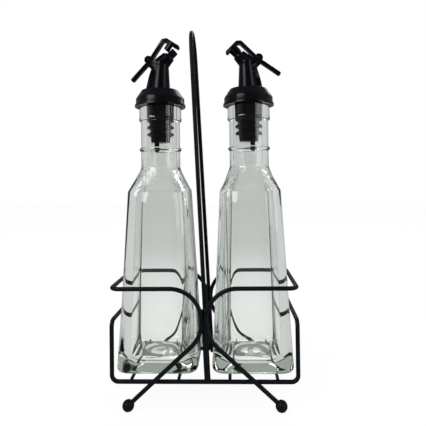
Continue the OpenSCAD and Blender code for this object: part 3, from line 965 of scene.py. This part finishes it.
def crisp_bevel(mesh, settings, bottle):
    """Draws the collar's bowed bevel straight, so that it keeps a crisp edge above and below."""
    low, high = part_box(bottle)
    axis_x = (low.x + high.x) / 2
    foot_z = high.z + settings.collar_rise - settings.bevel_height
    inner_r = settings.collar / 2 - settings.bevel_width
    for vertex in mesh.vertices:
        x, y, z = vertex.co.x - axis_x, vertex.co.y, vertex.co.z
        r = math.hypot(x, y)
        across = (r - inner_r) / settings.bevel_width
        up = (z - foot_z) / settings.bevel_height
        if 0 < across < 1 and 0 < up < 1 and across + up > BEVEL_SKIN:
            scale = (inner_r + settings.bevel_width * (1 - up)) / r
            vertex.co.x, vertex.co.y = axis_x + x * scale, y * scale


class CRUET_OT_pourers(bpy.types.Operator):
    """Dresses the spouts, stoppers, air tubes and hinge pins"""

    bl_idname = "cruet.pourers"
    bl_label = "Pourers"

    def execute(self, context):
        settings = context.scene.cruet_pourer
        plastic, rubber = pourer_plastic(settings), stopper_rubber(settings)
        for name in SIDES:
            body = f"{name}_pourer"
            for piece in ("spout", "air_tube", "hinge_pin"):
                node = f"{name}_{piece}"
                copy = moulded_copy(node, f"{node}_moulding", plastic, MOULDING_CREASE)
                if piece == "spout":
                    crisp_bevel(copy.data, settings, f"{name}_bottle")
                    smooth(copy.data, MOULDING_CREASE)
                keep(copy, body, "pourer_plastic", node)
            node = f"{name}_stopper"
            copy = moulded_copy(node, f"{node}_plug", rubber, ROUNDED_CREASE)
            keep(copy, body, "stopper_rubber", node)
        return {"FINISHED"}


class CRUET_OT_levers(bpy.types.Operator):
    """Dresses the flip levers"""

    bl_idname = "cruet.levers"
    bl_label = "Levers"

    def execute(self, context):
        plastic = pourer_plastic(context.scene.cruet_pourer)
        for name in SIDES:
            node = f"{name}_lever"
            copy = moulded_copy(node, f"{name}_flip_lever", plastic, ROUNDED_CREASE)
            keep(copy, f"{name}_flap", "pourer_plastic", node)
        return {"FINISHED"}


# Stage

FLOOR_HALF = 3.0
# Distances over which the floor fades in the glass, and the share of it that is seen plain white
FADE_NEAR, FADE_FAR = 0.12, 0.8
WHITE_SHARE = 0.93
# Where the dim front of the room gives way to its pale back, on the floor and in the world
FLOOR_FRONT, FLOOR_BACK = -0.3, -0.06
ROOM_FRONT, ROOM_BACK = -0.75, -0.1
# How steep a look into the world starts to darken, where it is darkest, and how bright that is
SKY_LOW, SKY_HIGH, SKY_DIM = 0.1, 0.7, 0.45
# Place, size and power of each lamp, and the point that all of them light
LAMPS = {
    "key_lamp": ((-0.7, -0.7, 0.9), (0.6, 0.6), 8),
    "fill_lamp": ((0.9, -0.5, 0.5), (0.5, 0.8), 3),
    "back_lamp": ((0.2, 0.9, 0.9), (0.8, 0.5), 4),
}
LAMP_AIM = Vector((0, 0, 0.13))


def seen_level(made, settings, through, along, front, back):
    """Whether a ray looks at something, and how bright that is: white, or dimmer in gloss and glass.

    Glossy surfaces see a dim room in front of the set and a pale one behind it. The depths count
    bounces, and a mix takes any count from 1 up as 1."""
    path = made.add("ShaderNodeLightPath").outputs
    inside = path["Transmission Depth"]
    gloss = made.add(
        "ShaderNodeMapRange",
        Value=along,
        From_Min=front,
        From_Max=back,
        To_Min=mixed(made, inside, settings.gloss, settings.inner),
        To_Max=mixed(made, inside, settings.sheen, settings.rim),
    )
    level = mixed(made, path["Glossy Depth"], through, gloss.outputs["Result"])
    level = mixed(made, path["Is Camera Ray"], level, 1.0)
    looks = mixed(made, path["Is Glossy Ray"], path["Is Transmission Ray"], 1.0)
    return mixed(made, path["Is Camera Ray"], looks, 1.0), level


def floor_material(settings):
    """A pale floor that looks white, takes a soft shadow and fades with distance in the glass."""
    material, made, out = new_material("pale_floor")
    at = made.add("ShaderNodeTexCoord").outputs["Object"]
    away = made.add("ShaderNodeVectorMath", {"operation": "LENGTH"}, Vector=at)
    fade = made.add(
        "ShaderNodeMapRange",
        {"interpolation_type": "SMOOTHSTEP"},
        Value=away.outputs["Value"],
        From_Min=FADE_NEAR,
        From_Max=FADE_FAR,
        To_Min=1.0,
        To_Max=settings.through,
    ).outputs["Result"]
    depth = made.add("ShaderNodeSeparateXYZ", Vector=at).outputs["Y"]
    looks, level = seen_level(made, settings, fade, depth, FLOOR_FRONT, FLOOR_BACK)
    matt = made.add("ShaderNodeBsdfDiffuse", Color=[*settings.floor, 1])
    white = made.add("ShaderNodeEmission", Color=WHITE, Strength=level)
    both = made.add("ShaderNodeMixShader", Fac=mixed(made, looks, 0.0, WHITE_SHARE))
    made.put(matt.outputs["BSDF"], both.inputs[1])
    made.put(white.outputs["Emission"], both.inputs[2])
    made.put(both.outputs["Shader"], out.inputs["Surface"])
    return material


def studio_world(settings):
    """Even light all round, white where it is seen, and darker overhead in the glass."""
    world = bpy.data.worlds.new("studio")
    world.use_nodes = True
    world.node_tree.nodes.clear()
    made = Tree(world.node_tree)
    at = made.add("ShaderNodeTexCoord").outputs["Generated"]
    way = made.add("ShaderNodeSeparateXYZ", Vector=at).outputs
    sky = made.add(
        "ShaderNodeMapRange",
        Value=way["Z"],
        From_Min=SKY_LOW,
        From_Max=SKY_HIGH,
        To_Min=settings.through,
        To_Max=SKY_DIM,
    ).outputs["Result"]
    looks, level = seen_level(made, settings, sky, way["Y"], ROOM_FRONT, ROOM_BACK)
    strength = mixed(made, looks, settings.light, level)
    light = made.add("ShaderNodeBackground", Color=WHITE, Strength=strength)
    out = made.add("ShaderNodeOutputWorld", Surface=light.outputs["Background"])
    out.is_active_output = True
    return world


def soft_lamp(name, place, size, power):
    lamp = bpy.data.lights.new(name, "AREA")
    lamp.shape = "RECTANGLE"
    lamp.size, lamp.size_y = size
    lamp.energy = power
    obj = bpy.data.objects.new(name, lamp)
    obj.location = place
    obj.rotation_euler = (LAMP_AIM - Vector(place)).to_track_quat("-Z", "Y").to_euler()
    bpy.context.scene.collection.objects.link(obj)


def photo_camera():
    """The camera at the photograph's place, with its lens, small turn and shift."""
    pixels, sensor = 426, 36
    place = Vector((20.8657, -315.8957, 152.4227)) * MM
    focal, yaw, pitch, roll = 420.1906, 0.0312, 0.0168, -0.0119
    centre_x, centre_y = 219.6729, 177.0753
    right = Vector((math.cos(yaw), math.sin(yaw), 0))
    level = Vector((-math.sin(yaw), math.cos(yaw), 0))
    ahead = math.cos(pitch) * level + math.sin(pitch) * Vector((0, 0, 1))
    up = right.cross(ahead)
    side = math.cos(roll) * right + math.sin(roll) * up
    top = -math.sin(roll) * right + math.cos(roll) * up
    lens = bpy.data.cameras.new("photo_camera")
    lens.sensor_width = sensor
    lens.lens = focal * sensor / pixels
    lens.shift_x = (pixels / 2 - centre_x) / pixels
    lens.shift_y = (centre_y - pixels / 2) / pixels
    lens.clip_start = 10 * MM
    camera = bpy.data.objects.new("photo_camera", lens)
    axes = Matrix((side, top, -ahead)).transposed().to_4x4()
    camera.matrix_world = Matrix.Translation(place) @ axes
    bpy.context.scene.collection.objects.link(camera)
    bpy.context.scene.camera = camera


class CRUET_OT_stage(bpy.types.Operator):
    """Sets the floor, the soft studio light and the camera"""

    bl_idname = "cruet.stage"
    bl_label = "Stage"

    def execute(self, context):
        scene = context.scene
        settings = scene.cruet_stage
        scene.view_settings.view_transform = "Standard"
        scene.world = studio_world(settings)
        mesh = bpy.data.meshes.new("floor")
        signs = ((-1, -1), (1, -1), (1, 1), (-1, 1))
        corners = [(x * FLOOR_HALF, y * FLOOR_HALF, 0) for x, y in signs]
        mesh.from_pydata(corners, [], [(0, 1, 2, 3)])
        mesh.materials.append(floor_material(settings))
        add_object("floor", mesh)
        for name, (place, size, power) in LAMPS.items():
            soft_lamp(name, place, size, power)
        photo_camera()
        return {"FINISHED"}


# Panel and registration

STEPS = ("hoops", "base", "handle", "feet", "bottles", "pourers", "levers", "stage")
SETTINGS = {
    "cruet_rack": CruetRackSettings,
    "cruet_bottle": CruetBottleSettings,
    "cruet_pourer": CruetPourerSettings,
    "cruet_stage": CruetStageSettings,
}


class CRUET_PT_panel(bpy.types.Panel):
    """Lists the settings and the steps"""

    bl_idname = "CRUET_PT_panel"
    bl_label = "Cruet set"
    bl_space_type = "VIEW_3D"
    bl_region_type = "UI"
    bl_category = "Cruet"

    def draw(self, context):
        for name, group in SETTINGS.items():
            box = self.layout.box()
            for key in group.__annotations__:
                box.prop(getattr(context.scene, name), key)
        for step in STEPS:
            self.layout.operator(f"cruet.{step}")


CLASSES = (
    *SETTINGS.values(),
    CRUET_OT_hoops,
    CRUET_OT_base,
    CRUET_OT_handle,
    CRUET_OT_feet,
    CRUET_OT_bottles,
    CRUET_OT_pourers,
    CRUET_OT_levers,
    CRUET_OT_stage,
    CRUET_PT_panel,
)


def register():
    for cls in CLASSES:
        bpy.utils.register_class(cls)
    for name, group in SETTINGS.items():
        setattr(bpy.types.Scene, name, PointerProperty(type=group))


def unregister():
    for name in SETTINGS:
        delattr(bpy.types.Scene, name)
    for cls in reversed(CLASSES):
        bpy.utils.unregister_class(cls)


def main():
    register()
    for step in STEPS:
        getattr(bpy.ops.cruet, step)()


if __name__ == "__main__":
    main()
